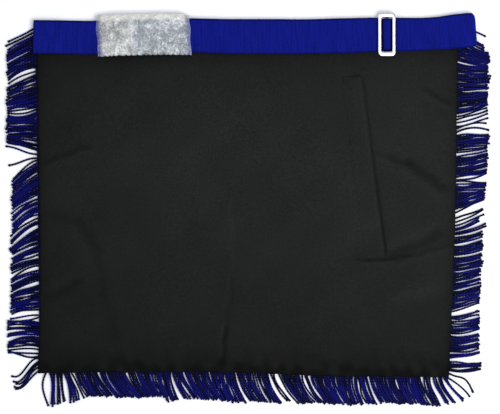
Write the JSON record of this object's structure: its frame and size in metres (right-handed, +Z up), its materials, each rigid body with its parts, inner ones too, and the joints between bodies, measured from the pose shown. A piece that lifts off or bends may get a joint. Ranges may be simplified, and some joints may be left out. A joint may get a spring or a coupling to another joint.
{
  "type": "fringed lodge apron",
  "caption": "Rectangular cloth apron lying face down, its dark lining with a slanted welt pocket up, cord fringe on three sides and a folded webbing belt with a slide and a wrapped clasp.",
  "frame": {"origin": "middle of the whole apron as it lies, on the surface it lies on", "axes": "+X to the right and +Y towards the belt as seen from above, with the apron's back up; +Z up"},
  "size_m": [0.4742, 0.3859, 0.0131],
  "materials": {
    "front_hide": "smooth pale hide, matte",
    "lining_cloth": "fine black twill",
    "fringe_cord": "twisted cord with a soft sheen",
    "belt_webbing": "ribbed webbing, matte",
    "bright_metal": "bright plated",
    "bubble_film": "crinkled translucent film"
  },
  "bodies": {
    "root": {"front_panel": "front_hide", "lining": "lining_cloth", "pocket_welt": "lining_cloth", "pocket_bag": "lining_cloth", "fringe_left": "fringe_cord", "fringe_bottom": "fringe_cord", "fringe_right": "fringe_cord", "belt_left": "belt_webbing", "belt_right": "belt_webbing", "belt_slider": "bright_metal", "belt_clasp": "bright_metal", "clasp_sleeve": "bubble_film"}
  },
  "joints": []
}
